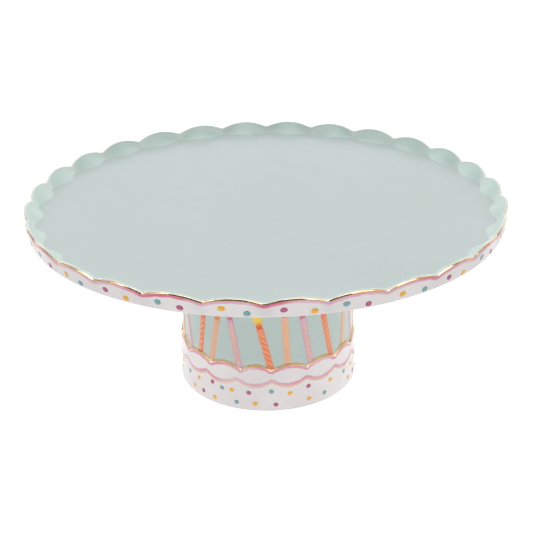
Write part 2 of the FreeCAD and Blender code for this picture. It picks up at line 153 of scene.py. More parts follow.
def panel_radius(height):
    """The bare panel, under its glaze."""
    part = (height - PANEL_FOOT) / (PEDESTAL_TOP - PANEL_FOOT)
    return blend(PANEL_FOOT_RADIUS - GLAZE, BARE_TOP_RADIUS, part)


# ---- sections ----

RIM_ANGLES = RIM_TURN + TURN * np.arange(COLUMNS)[:, None] / COLUMNS
BAND_ANGLES = BAND_TURN + TURN * np.arange(COLUMNS)[:, None] / COLUMNS
TOP_DRIFT = np.interp(BAND_ANGLES, BAND_TURN + TURN * np.arange(BAND_SCALLOPS) / BAND_SCALLOPS,
                      np.tile(BAND_DRIFT, 2), period=TURN)
TOP_ANGLES = BAND_ANGLES + TOP_DRIFT  # the same columns, where they meet the top of the band


def section(radius, height):
    """A section out of its radii and heights, either of which may be a single number."""
    radius, height, _ = np.broadcast_arrays(radius, height, RIM_ANGLES)
    return np.stack([radius, height], axis=-1)


def arc(centre, size, start, end, spans):
    """Round a circle, from one angle of its normal to another."""
    turn = blend(start, end, np.linspace(0.0, 1.0, spans + 1))
    return section(centre[0] + size * np.cos(turn), centre[1] + size * np.sin(turn))


def straight(start, end, spans):
    """A straight run, with its points closer together near its two ends."""
    part = 0.5 - 0.5 * np.cos(np.linspace(0.0, math.pi, spans + 1))
    return section(blend(start[0], end[0], part), blend(start[1], end[1], part))


def joined(*runs):
    """One section out of several runs, each of which starts where the one before it ended."""
    return np.concatenate([runs[0]] + [run[:, 1:] for run in runs[1:]], axis=1)


def petal(depth, spans):
    """Up a petal, from the flat seat to the lip, sunk by a depth."""
    slope = np.tan(lip_slope(RIM_ANGLES))
    end = arc(lip_centre(RIM_ANGLES), LIP_RADIUS, math.pi / 2 + lip_slope(RIM_ANGLES), 0.0, 1)[:, :1]
    rise = end[..., 1] - SEAT_HEIGHT
    run = rise * PETAL_POWER / slope
    part = np.linspace(0.0, 1.0, spans + 1)
    normal = np.arctan(slope * part ** (PETAL_POWER - 1.0))
    return section(end[..., 0] - run * (1.0 - part) + depth * np.sin(normal),
                   SEAT_HEIGHT + rise * part ** PETAL_POWER - depth * np.cos(normal))


def lip(start, end, depth, spans):
    return arc(lip_centre(RIM_ANGLES), LIP_RADIUS - depth, start, end, spans)


def wall(radius_at, top, foot, spans):
    """Down a wall whose radius is radius_at(height)."""
    height = blend(top, foot, np.linspace(0.0, 1.0, spans + 1))
    return section(radius_at(height), height)


def ledge(start, end, spans):
    """Over the rounded top edge of the band: a right angle is its top, at the panel, and 0 its side."""
    side = band_top(BAND_ANGLES) - LEDGE_HEIGHT
    inner = panel_radius(side + LEDGE_HEIGHT)
    turn = blend(start, end, np.linspace(0.0, 1.0, spans + 1))
    return section(inner + (band_radius(side) - inner) * np.cos(turn), side + LEDGE_HEIGHT * np.sin(turn))


def tuck(spans):
    """Under the rounded lower edge of the band."""
    foot = band_foot(BAND_ANGLES)
    turn = np.linspace(math.pi / 2, 0.0, spans + 1)
    return section(blend(base_radius(foot), band_radius(foot + TUCK_HEIGHT), np.sin(turn)),
                   foot + TUCK_HEIGHT * (1.0 - np.cos(turn)))


def wander(seed, waves, size):
    """A seeded up and down round the stand, as a hand makes it, in these numbers of waves."""
    draw = np.random.default_rng(seed)
    height = np.zeros_like(RIM_ANGLES)
    for count in waves:
        height += draw.uniform(0.4, 1.0) * np.cos(count * RIM_ANGLES + draw.uniform(0.0, TURN))
    return size * height / math.sqrt(len(waves))


def laid_on(run, lift):
    """The closed section of a colour that lies on a run of wall: round-edged, and sunk into it a little."""
    along = np.gradient(run, axis=1)
    normal = np.stack([-along[..., 1], along[..., 0]], axis=-1)
    normal /= np.linalg.norm(normal, axis=-1, keepdims=True)
    across = np.linspace(-1.0, 1.0, run.shape[1])
    crown = np.sqrt(1.0 - across ** 4)[:, None]
    return np.concatenate([run + normal * crown * lift, (run - normal * STROKE_BED)[:, ::-1]], axis=1)


# ---- meshes ----

def add_mesh(name, points, faces, attributes):
    """A smooth closed mesh whose faces look outwards, with one number to a point for each attribute."""
    mesh = bpy.data.meshes.new(name)
    mesh.from_pydata(points.tolist(), [], faces)
    mesh.polygons.foreach_set("use_smooth", [True] * len(mesh.polygons))
    for key, values in attributes.items():
        layer = mesh.attributes.new(key, "FLOAT", "POINT")
        layer.data.foreach_set("value", np.ravel(values).astype(np.float32))
    mesh.calc_loop_triangles()
    corners = points[np.array([triangle.vertices for triangle in mesh.loop_triangles])]
    volume = np.einsum("ij,ij->i", corners[:, 0], np.cross(corners[:, 1], corners[:, 2])).sum()
    if volume < 0.0:
        mesh.flip_normals()
    return mesh


def places(angle, radius, height):
    return np.stack([radius * np.sin(angle), -radius * np.cos(angle), height], axis=-1)


def grid_faces(columns, rows, wrap_columns, wrap_rows):
    """Four-sided faces between neighbours of a grid whose points are numbered row by row in each column."""
    column = np.arange(columns if wrap_columns else columns - 1)[:, None]
    row = np.arange(rows if wrap_rows else rows - 1)
    right, above = (column + 1) % columns, (row + 1) % rows
    corners = [column * rows + row, right * rows + row, right * rows + above, column * rows + above]
    return np.stack(np.broadcast_arrays(*corners), axis=-1).reshape(-1, 4).tolist()


def ring_mesh(name, angles, closed_section, **attributes):
    """A closed section, turned round the axis. An attribute is a number or an array that fits the section."""
    columns, rows, _ = closed_section.shape
    points = places(angles, closed_section[..., 0], closed_section[..., 1]).reshape(-1, 3)
    values = {key: np.broadcast_to(value, (columns, rows)) for key, value in attributes.items()}
    return add_mesh(name, points, grid_faces(columns, rows, True, True), values)


def plate_mesh(name, top, underside, **attributes):
    """A round piece that reaches the axis: its top from the middle outwards, then its underside inwards."""
    whole = np.concatenate([top, underside], axis=1)
    columns, rows, _ = whole.shape
    points = places(RIM_ANGLES, whole[..., 0], whole[..., 1]).reshape(-1, 3)
    poles = np.array([[0.0, 0.0, top[0, 0, 1]], [0.0, 0.0, underside[0, -1, 1]]])
    faces = grid_faces(columns, rows, True, False)
    first, last = len(points), len(points) + 1
    for column in range(columns):
        here, beside = column * rows, (column + 1) % columns * rows
        faces.append((first, beside, here))
        faces.append((last, here + rows - 1, beside + rows - 1))
    values = {key: np.append(np.broadcast_to(value, (columns, rows)), [0.0, 0.0])
              for key, value in attributes.items()}
    return add_mesh(name, np.concatenate([points, poles]), faces, values)


def slab(front, back):
    """Points and faces of a thin closed piece between two grids of points, its front and its back."""
    columns, rows, _ = front.shape
    size = columns * rows
    faces = grid_faces(columns, rows, False, False)
    faces += [tuple(size + corner for corner in reversed(face)) for face in faces]
    number = np.arange(size).reshape(columns, rows)
    border = np.concatenate([number[:, 0], number[-1, 1:], number[-2::-1, -1], number[0, -2:0:-1]]).tolist()
    for here, beside in zip(border, border[1:] + border[:1]):
        faces.append((beside, here, size + here, size + beside))
    return np.concatenate([front.reshape(-1, 3), back.reshape(-1, 3)]), faces


def gathered(name, parts):
    """One mesh out of several closed parts, each of them (points, faces, attributes)."""
    points, faces, attributes = [], [], {}
    count = 0
    for part_points, part_faces, part_attributes in parts:
        points.append(part_points)
        faces += [tuple(count + corner for corner in face) for face in part_faces]
        count += len(part_points)
        for key, values in part_attributes.items():
            attributes.setdefault(key, []).append(np.ravel(values))
    return add_mesh(name, np.concatenate(points), faces,
                    {key: np.concatenate(values) for key, values in attributes.items()})


def add_object(name, data):
    made = bpy.data.objects.new(name, data)
    bpy.context.scene.collection.objects.link(made)
    return made


def add_piece(mesh, material, slot, *nodes):
    piece = add_object(mesh.name, mesh)
    mesh.materials.append(material)
    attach(piece, "root")
    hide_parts(*nodes)


# ---- materials ----

def add_node(tree, kind, inputs, **settings):
    """A shader node, with its inputs given as values or as outputs of other nodes."""
    made = tree.nodes.new("ShaderNode" + kind)
    for key, value in settings.items():
        setattr(made, key, value)
    for socket, value in inputs.items():
        if isinstance(value, bpy.types.NodeSocket):
            tree.links.new(value, made.inputs[socket])
        else:
            made.inputs[socket].default_value = value
    return made


def new_material(name, **sockets):
    """A material and its shader, with the sockets that are the same all over set on the shader itself."""
    material = bpy.data.materials.new(name)
    material.use_nodes = True
    shader = material.node_tree.nodes["Principled BSDF"]
    for socket, value in sockets.items():
        shader.inputs[socket.replace("_", " ")].default_value = value
    return material, material.node_tree, shader


def colour(red, green, blue):
    """A colour in sRGB display values from 0 to 255, as the shader's linear one."""
    shares = [value / 255.0 for value in (red, green, blue)]
    linear = [share / 12.92 if share <= 0.04045 else ((share + 0.055) / 1.055) ** 2.4 for share in shares]
    return linear + [1.0]


def position(tree):
    return add_node(tree, "TexCoord", {}).outputs["Object"]


def attribute(tree, name):
    return add_node(tree, "Attribute", {}, attribute_name=name).outputs["Fac"]


def noise(tree, vector, scale, detail=2.0):
    return add_node(tree, "TexNoise", {"Vector": vector, "Scale": scale, "Detail": detail}).outputs["Fac"]


def ranged(tree, value, start, end, low=0.0, high=1.0):
    """The value, moved from the range start..end to low..high, softly and without going past it."""
    made = add_node(tree, "MapRange", {"Value": value, "From Min": start, "From Max": end,
                                       "To Min": low, "To Max": high}, interpolation_type="SMOOTHSTEP")
    return made.outputs["Result"]


def clouded(tree, scale, detail, low=0.0, high=1.0):
    """Soft patches between two values, about so many to a metre."""
    return ranged(tree, noise(tree, position(tree), scale, detail), 0.3, 0.7, low, high)


def mixed(tree, part, first, second):
    """Between two colours."""
    return add_node(tree, "Mix", {0: part, 6: first, 7: second}, data_type="RGBA").outputs[2]


def mixed_number(tree, part, first, second):
    return add_node(tree, "Mix", {0: part, 2: first, 3: second}).outputs[0]


def calculated(tree, operation, first, second):
    return add_node(tree, "Math", {0: first, 1: second}, operation=operation).outputs["Value"]


def product(tree, first, second):
    return calculated(tree, "MULTIPLY", first, second)


def total(tree, first, second):
    return calculated(tree, "ADD", first, second)


def components(tree, vector):
    return add_node(tree, "SeparateXYZ", {"Vector": vector}).outputs


def bumped(tree, height, distance):
    return add_node(tree, "Bump", {"Height": height, "Distance": distance, "Strength": 1.0}).outputs["Normal"]


def streaks(tree, fine, long):
    """Noise drawn out along a brush stroke: so many patches to a metre across it, where the mesh says how far
    across a point is, and so many along it."""
    spread = add_node(tree, "VectorMath", {0: position(tree), 1: (long, long, long)}, operation="MULTIPLY")
    parts = components(tree, spread.outputs["Vector"])
    across = product(tree, attribute(tree, "across"), fine)
    vector = add_node(tree, "CombineXYZ", {"X": parts["X"], "Y": parts["Y"], "Z": across})
    return noise(tree, vector.outputs["Vector"], 1.0, 3.0)


def by_candle(tree, lilac, coral, peach):
    """The colour of a piece of a candle, by the colour of its wax: the tone is 0, 0.5 or 1."""
    tone = attribute(tree, "tone")
    either = mixed(tree, ranged(tree, tone, 0.0, 0.5), lilac, coral)
    return mixed(tree, ranged(tree, tone, 0.5, 1.0), either, peach)


def connect(tree, shader, base, roughness, normal):
    tree.links.new(base, shader.inputs["Base Color"])
    tree.links.new(roughness, shader.inputs["Roughness"])
    tree.links.new(normal, shader.inputs["Normal"])


BRUSH_STREAKS = (1900.0, 70.0)  # patches to a metre, across a stroke and along it
GOLD_STREAKS = (2600.0, 60.0)
ENAMEL_COAT = {"Coat_Weight": 0.5, "Coat_Roughness": 0.05}
BARE_FOOT_HEIGHT = 0.85 * MM  # the foot is wiped clean of glaze up to here


def glaze_surface(tree, low, high):
    """Roughness of a fired glaze, between two values, and the normals of its gently uneven surface."""
    place = position(tree)
    roughness = ranged(tree, noise(tree, place, 60.0, 3.0), 0.35, 0.65, low, high)
    rolling = noise(tree, place, 45.0)
    peel = product(tree, noise(tree, place, 900.0), 0.06)
    return roughness, bumped(tree, total(tree, rolling, peel), 0.10 * MM)


def connect_fired(tree, shader, base, low, high):
    connect(tree, shader, base, *glaze_surface(tree, low, high))


def white_glaze():
    """Clear glaze over a white body, which is bare where the foot stands on the table."""
    material, tree, shader = new_material("white_glaze", Coat_Weight=0.5, Coat_Roughness=0.04)
    place = position(tree)
    clean = mixed(tree, ranged(tree, noise(tree, place, 30.0, 4.0), 0.35, 0.65),
                  colour(237, 231, 232), colour(242, 238, 237))
    speck = ranged(tree, noise(tree, place, 1400.0, 1.0), 0.80, 0.84, 0.0, 0.35)
    flecked = mixed(tree, speck, clean, colour(170, 158, 150))
    grain = clouded(tree, 2500.0, 3.0)
    clay = mixed(tree, grain, colour(196, 188, 180), colour(216, 209, 201))
    edge = total(tree, components(tree, place)["Z"], product(tree, noise(tree, place, 90.0), 0.5 * MM))
    bare = ranged(tree, edge, BARE_FOOT_HEIGHT - 0.1 * MM, BARE_FOOT_HEIGHT + 0.1 * MM, 1.0, 0.0)
    gloss, normal = glaze_surface(tree, 0.10, 0.18)
    roughness = calculated(tree, "MAXIMUM", gloss, product(tree, bare, 0.8))
    connect(tree, shader, mixed(tree, bare, flecked, clay), roughness, normal)
    return material


def mint_glaze():
    """Lighter and greener up the petals, partly where the glaze has pooled and partly as painted light that
    lifts the shaded petals, and a little lighter all over the drum panel. Pale where the glaze thins over the
    lip, which is also a painted highlight there, and pale in the creases between petals and just above the
    band's ledge, as painted light over the shade that falls there.
    """
    material, tree, shader = new_material("mint_glaze", Specular_IOR_Level=0.30, Coat_Weight=0.35,
                                          Coat_Roughness=0.12)
    plain = mixed(tree, clouded(tree, 14.0, 3.0), colour(190, 203, 200), colour(194, 205, 203))
    # The lighter green: partly glaze pooled on the petals, partly painted light that lifts their shade.
    deep = mixed(tree, attribute(tree, "thick"), plain, colour(204, 225, 217))
    # The pale colour: painted light in the creases between petals and above the band's ledge, and a painted
    # highlight along the lip top, where the glaze also thins.
    thin = mixed(tree, attribute(tree, "thin"), deep, colour(222, 234, 228))
    speck = ranged(tree, noise(tree, position(tree), 1100.0, 1.0), 0.79, 0.83, 0.0, 0.3)
    connect_fired(tree, shader, mixed(tree, speck, thin, colour(150, 180, 168)), 0.30, 0.38)
    return material


def gold_lustre(name, metallic, dark, light):
    """Brushed-on lustre: it mirrors, with long streaks. It is painted pale cream along its upper border and
    where
    it is thin, in the notches: painted highlights. metallic is how much it mirrors where the thin attribute
    is 0."""
    material, tree, shader = new_material(name)
    tree.links.new(ranged(tree, attribute(tree, "thin"), 0.0, 0.8, metallic, 1.0), shader.inputs["Metallic"])
    place = position(tree)
    streak = streaks(tree, *GOLD_STREAKS)
    full = mixed(tree, ranged(tree, streak, 0.35, 0.65), dark, light)
    # Painted highlight: cream along the upper border of the stroke.
    border = ranged(tree, attribute(tree, "across"), 0.25 * MM, 0.75 * MM, 1.0, 0.0)
    thin = calculated(tree, "MAXIMUM", border, attribute(tree, "thin"))
    # Painted highlights: cream where the border or the thin attribute is high.
    base = mixed(tree, thin, full, colour(255, 240, 212))
    worn = ranged(tree, noise(tree, place, 700.0, 3.0), 0.66, 0.74, 0.0, 0.5)
    roughness = total(tree, ranged(tree, streak, 0.3, 0.7, 0.05, 0.12), product(tree, worn, 0.2))
    groove = product(tree, streak, 0.10)
    normal = bumped(tree, total(tree, noise(tree, place, 130.0), groove), 0.40 * MM)
    connect(tree, shader, mixed(tree, worn, base, colour(190, 130, 84)), roughness, normal)
    return material


def brushwork(name, pale, strong, border):
    """Colour brushed on by hand: streaked, and strong where the brush was full. border is how strong it is
    along the edges of the stroke, from 0 to 1."""
    material, tree, shader = new_material(name, **ENAMEL_COAT)
    streak = ranged(tree, streaks(tree, *BRUSH_STREAKS), 0.32, 0.68, 0.0, 0.35)
    full = ranged(tree, noise(tree, position(tree), 38.0), 0.40, 0.60, 0.0, 0.75)
    load = product(tree, attribute(tree, "load"), total(tree, streak, full))
    part = mixed_number(tree, ranged(tree, attribute(tree, "edge"), 0.3, 1.0), load, border)
    connect_fired(tree, shader, mixed(tree, part, pale, strong), 0.14, 0.24)
    return material


def enamel(name, plain, deep):
    """A dab of enamel, deeper round its rim where the colour gathers."""
    material, tree, shader = new_material(name, **ENAMEL_COAT)
    cloud = clouded(tree, 500.0, 3.0, 0.0, 0.4)
    rim = ranged(tree, attribute(tree, "edge"), 0.55, 1.0, 0.0, 0.8)
    base = mixed(tree, calculated(tree, "MAXIMUM", cloud, rim), plain, deep)
    connect_fired(tree, shader, base, 0.14, 0.22)
    return material


def stripe_paint():
    """Thin yellow over the candle, whose wax shines through along the edges and in the streaks."""
    material, tree, shader = new_material("stripe_yellow", **ENAMEL_COAT)
    streak = ranged(tree, streaks(tree, *BRUSH_STREAKS), 0.32, 0.68)
    thin = calculated(tree, "MAXIMUM", streak, ranged(tree, attribute(tree, "edge"), 0.4, 1.0))
    body = by_candle(tree, colour(248, 206, 132), colour(255, 190, 98), colour(255, 190, 98))
    edge = by_candle(tree, colour(250, 170, 116), colour(250, 170, 116), colour(246, 196, 142))
    connect_fired(tree, shader, mixed(tree, thin, body, edge), 0.14, 0.24)
    return material


def wick_paint():
    """Scarlet on coral candles, pinker on lilac ones and more orange on peach ones."""
    material, tree, shader = new_material("wick_red", **ENAMEL_COAT)
    plain = by_candle(tree, colour(226, 132, 160), colour(248, 92, 44), colour(248, 146, 92))
    cloud = product(tree, noise(tree, position(tree), 500.0, 3.0), 0.3)
    height = total(tree, attribute(tree, "along"), cloud)
    low = ranged(tree, height, 0.1, 0.7, 0.7, 0.0)
    high = mixed(tree, ranged(tree, height, 0.55, 1.05, 0.0, 0.8), plain, colour(250, 170, 60))
    connect_fired(tree, shader, mixed(tree, low, high, colour(204, 58, 40)), 0.14, 0.22)
    return material


def flame_paint():
    """Orange by the wick and yellow at the tip."""
    material, tree, shader = new_material("flame_yellow", **ENAMEL_COAT)
    cloud = product(tree, noise(tree, position(tree), 400.0, 3.0), 0.3)
    height = total(tree, attribute(tree, "along"), cloud)
    base = mixed(tree, ranged(tree, height, 0.05, 0.5), colour(250, 182, 48), colour(253, 216, 90))
    connect_fired(tree, shader, base, 0.14, 0.22)
    return material


def bare_slip():
    material, tree, shader = new_material("slip")
    grain = clouded(tree, 1800.0, 4.0)
    base = mixed(tree, grain, colour(214, 210, 206), colour(232, 229, 226))
    connect(tree, shader, base, clouded(tree, 300.0, 2.0, 0.45, 0.6), bumped(tree, grain, 0.05 * MM))
    return material


WHITE = white_glaze()
MINT = mint_glaze()
GOLD = gold_lustre("gold_lustre", 0.9, colour(226, 172, 104), colour(240, 196, 122))
# The band's gold is the rim's lustre painted lighter and more orange, and mirroring less: painted light for
# the shade under the plate.
BAND_GOLD = gold_lustre("band_gold_lustre", 0.6, colour(244, 180, 88), colour(252, 204, 110))
PINK_BRUSH = brushwork("pink_brushwork", colour(235, 200, 214), colour(236, 106, 148), 0.1)
YELLOW_BRUSH = brushwork("yellow_brushwork", colour(240, 222, 202), colour(232, 184, 122), 0.3)
SLIP = bare_slip()

# ---- plate ----

MIDDLE = 0.02  # where a flat face starts, as a share of its radius
SEAT_EDGE_SPANS = 12
PETAL_SPANS = 16
LIP_SPANS = 10
GLAZE_END = math.radians(52.0)  # the mint stops here on the lip, whose top is at 90 and side at 0
GOLD_START = math.radians(62.0)  # and the gold lies between these, more or less
GOLD_END = math.radians(2.0)
RIM_GOLD_LIFT = 0.34 * MM  # thickness of the gold and of the brushed colours
BRUSH_LIFT = 0.14 * MM
STROKE_BED = 0.05 * MM  # how deep they sit in the glaze
RIM_PINK_WIDTH = 1.78 * MM


def seat(depth, spans):
    """From near the middle of the plate to the petals, with its points closer together towards them."""
    edge = petal(depth, 1)[:, 0]
    part = 1.0 - (1.0 - MIDDLE) * np.linspace(1.0, 0.0, spans + 1) ** 4
    return section(edge[:, :1] * part, edge[:, 1:])


def rim_skirt(height):
    return skirt_radius(RIM_ANGLES, height)


def add_plate():
    steep = math.pi / 2 + lip_slope(RIM_ANGLES)
    side = lip_centre(RIM_ANGLES)[1]
    foot = EDGE_HEIGHT + EDGE_ROUNDING
    top = joined(seat(GLAZE, 4), petal(GLAZE, PETAL_SPANS), lip(steep, 0.0, GLAZE, LIP_SPANS))
    edge_centre = (EDGE_RADIUS - GLAZE - EDGE_ROUNDING, foot)
    underside = joined(
        wall(rim_skirt, side, foot, 8),
        arc(edge_centre, EDGE_ROUNDING, 0.0, -math.pi / 2, 8),
        straight((edge_centre[0], EDGE_HEIGHT), (ROOT_RADIUS, ROOT_HEIGHT), 16),
        straight((ROOT_RADIUS, ROOT_HEIGHT), (MIDDLE * ROOT_RADIUS, ROOT_HEIGHT), 6))
    add_piece(plate_mesh("plate_casting", top, underside[:, 1:]), WHITE, "white_glaze", "plate")


def add_plate_glaze():
    """Mint over the seat, the petals and the top of the lip. It is lighter green up the petals, partly as
    pooled glaze and partly as painted light, and pale on the lip, partly as thin glaze and partly as a
    painted highlight.
    Along the creases between the petals it is painted pale, as painted light over the shade there."""
    steep = math.pi / 2 + lip_slope(RIM_ANGLES)
    top, underside = [joined(seat(depth, SEAT_EDGE_SPANS), petal(depth, PETAL_SPANS),
                             lip(steep, GLAZE_END, depth, LIP_SPANS)) for depth in (0.0, GLAZE)]
    rows = np.arange(2 * top.shape[1])
    up_petal = (np.minimum(rows, rows[::-1]) - SEAT_EDGE_SPANS) / PETAL_SPANS
    # The lighter green starts right at the petal's foot, as painted light over the shade there.
    on_petal = np.clip(up_petal / 0.15, 0.0, 1.0)
    thick = on_petal * np.clip((1.25 - up_petal) / 0.35, 0.0, 1.0)
    # Painted light: the glaze is painted pale along the creases between the petals, where shade falls.
    notch_painted_lift = 0.8 * (1.0 - rim_swell(RIM_ANGLES)) ** 2 * on_petal
    thin = np.maximum(np.clip((up_petal - 1.0) / 0.2, 0.0, 1.0), notch_painted_lift)
    mesh = plate_mesh("plate_mint_surface", top, underside[:, ::-1], thick=thick, thin=thin)
    add_piece(mesh, MINT, "mint_glaze", "plate_mint_glaze")


def stroke_attributes(run):
    """How far across a stroke each point is, in metres, and how near its edge, from 0 to 1."""
    across = np.linspace(0.0, 1.0, run.shape[1])
    width = np.linalg.norm(np.diff(run, axis=1), axis=-1).sum(axis=1, keepdims=True)
    both = np.concatenate([across, across[::-1]])
    return {"across": both * width, "edge": np.abs(2.0 * both - 1.0)}


def add_stroke(name, angles, run, lift, material, slot, node, **attributes):
    """A line of colour laid along a run of wall, all the way round."""
    mesh = ring_mesh(name, angles, laid_on(run, lift), **stroke_attributes(run), **attributes)
    add_piece(mesh, material, slot, node)


def add_rim_lines():
    side = lip_centre(RIM_ANGLES)[1]
    start = GOLD_START + wander(11, range(9, 90, 8), math.radians(8.0))
    end = GOLD_END + wander(12, range(12, 120, 9), math.radians(3.0))
    # thin marks painted highlights: the gold is cream, and mirrors more, in the rim's notches.
    add_stroke("rim_gold_line", RIM_ANGLES, lip(start, end, GLAZE, 14), RIM_GOLD_LIFT, GOLD, "gold_lustre",
               "rim_gilding", thin=0.8 * (1.0 - rim_swell(RIM_ANGLES)) ** 4)
    width = RIM_PINK_WIDTH + wander(13, range(10, 140, 9), 0.22 * MM)
    pink = joined(lip(GOLD_END, 0.0, GLAZE, 2), wall(rim_skirt, side, side - width, 8))
    add_stroke("rim_pink_brush_line", RIM_ANGLES, pink, BRUSH_LIFT, PINK_BRUSH, "pink_brushwork",
               "rim_pink_line", load=1.0)


add_plate()
add_plate_glaze()
add_rim_lines()

# ---- pedestal ----

BAND_GOLD_LIFT = 0.20 * MM
BAND_PINK_WIDTH = 1.6 * MM
BAND_PINK_LOAD = 0.62  # the brush was less full than for the rim
ICING_LIFT = 0.12 * MM
ICING_WIDTH = 1.9 * MM
YELLOW_LIFT = 0.08 * MM
YELLOW_WIDTH = 0.55 * MM
BAND_WAVES = range(9, 110, 8)
SLIP_RUN = 0.6 * MM  # how far the slip is wiped down the drum


def add_pedestal():
    """The drum. Its columns are upright below the band, and lean over to the band's top, cut by hand."""
    top = band_top(BAND_ANGLES)
    foot = band_foot(BAND_ANGLES)
    inner_top = (INNER_TOP_RADIUS, PEDESTAL_TOP)
    foot_centre = (FOOT_RADIUS - FOOT_ROUNDING, FOOT_ROUNDING)
    inner_centre = (INNER_FOOT_RADIUS + FOOT_ROUNDING, FOOT_ROUNDING)
    outline = joined(
        straight(inner_top, (BARE_TOP_RADIUS, PEDESTAL_TOP), 4),
        wall(panel_radius, PEDESTAL_TOP, top, 10),
        ledge(math.pi / 2, 0.0, 8),
        wall(band_radius, top - LEDGE_HEIGHT, foot + TUCK_HEIGHT, 6),
        tuck(8),
        wall(base_radius, foot, FOOT_ROUNDING, 8),
        arc(foot_centre, FOOT_ROUNDING, 0.0, -math.pi / 2, 8),
        straight((foot_centre[0], 0.0), (inner_centre[0], 0.0), 4),
        arc(inner_centre, FOOT_ROUNDING, -math.pi / 2, -math.pi, 6),
        straight((INNER_FOOT_RADIUS, FOOT_ROUNDING), inner_top, 14))[:, :-1]
    lowest_top = BAND_TOP_NOTCH - LEDGE_HEIGHT
    highest_foot = BAND_FOOT_NOTCH + TUCK_HEIGHT
    part = np.clip((outline[..., 1] - highest_foot) / (lowest_top - highest_foot), 0.0, 1.0)
    angles = BAND_ANGLES + part * TOP_DRIFT
    add_piece(ring_mesh("pedestal_casting", angles, outline), WHITE, "white_glaze", "pedestal")


def add_panel_glaze():
    foot = band_top(BAND_ANGLES) + 0.3 * GLAZE
    outer = wall(lambda height: panel_radius(height) + GLAZE, PEDESTAL_TOP, foot, 24)
    inner = wall(panel_radius, PEDESTAL_TOP, foot, 24)
    outline = np.concatenate([outer, inner[:, ::-1]], axis=1)
    above = outline[..., 1] - foot
    # The panel is a little lighter green all over, and painted pale for 2.5 mm above the band: painted light
    # over the shade beside the band's ledge.
    mesh = ring_mesh("pedestal_mint_surface", TOP_ANGLES, outline,
                     thick=0.35, thin=np.clip(1.0 - above / (2.5 * MM), 0.0, 1.0))
    add_piece(mesh, MINT, "mint_glaze", "pedestal_mint_glaze")


def add_band_lines():
    """Gold along the band's top edge, pooled in its notches, a pink line under it, and two lines below."""
    top = band_top(BAND_ANGLES)
    foot = band_foot(BAND_ANGLES)
    side = top - LEDGE_HEIGHT
    pooled = (1.0 - swell(BAND_ANGLES, BAND_SCALLOPS, BAND_TURN)) ** 1.5
    end = np.radians(24.0 - 20.0 * pooled) + wander(21, BAND_WAVES, math.radians(5.0))
    rise = 0.40 * MM + 0.25 * MM * pooled + wander(22, BAND_WAVES, 0.04 * MM)
    start = section(panel_radius(top + rise) + GLAZE, top + rise)[:, :1]
    thin = np.concatenate([start, ledge(math.radians(70.0), end, 11)], axis=1)
    filled = start + (thin[:, -1:] - start) * np.linspace(0.0, 1.0, thin.shape[1])[:, None]
    gold = blend(thin, filled, pooled[..., None])
    # thin=pooled makes the gold pooled in the notches cream and more mirroring: painted highlights there.
    add_stroke("band_gold_line", TOP_ANGLES, gold, BAND_GOLD_LIFT, BAND_GOLD, "gold_lustre",
               "pedestal_gilding", thin=pooled)
    pink_width = BAND_PINK_WIDTH + wander(23, BAND_WAVES, 0.25 * MM)
    pink = joined(ledge(math.radians(20.0), 0.0, 2), wall(band_radius, side, side - pink_width, 8))
    add_stroke("band_pink_brush_line", TOP_ANGLES, pink, BRUSH_LIFT, PINK_BRUSH, "pink_brushwork",
               "pedestal_pink_line", load=BAND_PINK_LOAD)
    low = foot + TUCK_HEIGHT + wander(24, BAND_WAVES, 0.08 * MM)
    icing = wall(band_radius, low + ICING_WIDTH + wander(25, BAND_WAVES, 0.3 * MM), low, 8)
    add_stroke("icing_pink_brush_line", BAND_ANGLES, icing, ICING_LIFT, PINK_BRUSH, "pink_brushwork",
               "icing_edge_pink_line", load=BAND_PINK_LOAD)
    yellow_width = YELLOW_WIDTH + wander(27, BAND_WAVES, 0.15 * MM)
    yellow = joined(tuck(6), wall(base_radius, foot, foot - yellow_width, 4))
    add_stroke("icing_yellow_brush_line", BAND_ANGLES, yellow, YELLOW_LIFT, YELLOW_BRUSH, "yellow_brushwork",
               "icing_edge_yellow_line", load=0.9)


def add_slip():
    """The ring of slip between the castings, with its fillet wiped round by a finger."""
    inner, reach, low, high = measure("slip_joint")
    uneven = wander(31, range(5, 60, 5), 0.10 * MM)
    turn = np.linspace(math.pi, math.pi / 2, 9)
    fillet = section(reach + uneven + (reach - BARE_TOP_RADIUS) * np.cos(turn),
                     low - SLIP_RUN + (high - low + SLIP_RUN) * np.sin(turn))
    inside = straight((inner, high), (inner, low), 2)
    outline = np.concatenate([fillet, inside], axis=1)
    add_piece(ring_mesh("slip_ring", RIM_ANGLES, outline), SLIP, "slip", "slip_joint")


add_pedestal()
add_panel_glaze()
add_band_lines()
add_slip()

# ---- enamel dots ----

DOT_COLOURS = {
    "pink": enamel("pink_enamel", colour(202, 100, 144), colour(176, 56, 106)),
    "yellow": enamel("yellow_enamel", colour(255, 190, 14), colour(255, 176, 4)),
    "teal": enamel("teal_enamel", colour(128, 184, 182), colour(100, 166, 166)),
}
BED = 0.1 * MM  # how deep the dots and the candles sit in the glaze
DOT_SPOKES = 32
DOT_RINGS = 6
DOT_LIFT = 0.22 * MM
DOT_OVAL = 0.035  # a dab is a little oval
DOT_CORNERS = 0.02  # and has three faint corners


def loose_parts(node):
    """The points of each separate solid of a CAD node. Each point takes the lowest label of its neighbours,
    until nothing changes."""
    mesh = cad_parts[node].data
    where = np.array([vertex.co for vertex in mesh.vertices])
    _, merged = np.unique(np.round(where / (0.002 * MM)).astype(int), axis=0, return_inverse=True)
    label = np.arange(merged.max() + 1)
    edges = merged[np.array([edge.vertices for edge in mesh.edges])]
    while True:
        lowest = label.copy()
        np.minimum.at(lowest, edges[:, 0], label[edges[:, 1]])
        np.minimum.at(lowest, edges[:, 1], label[edges[:, 0]])
        lowest = lowest[lowest]
        if (lowest == label).all():
            break
        label = lowest
    return [where[label[merged] == part] for part in np.unique(label)]


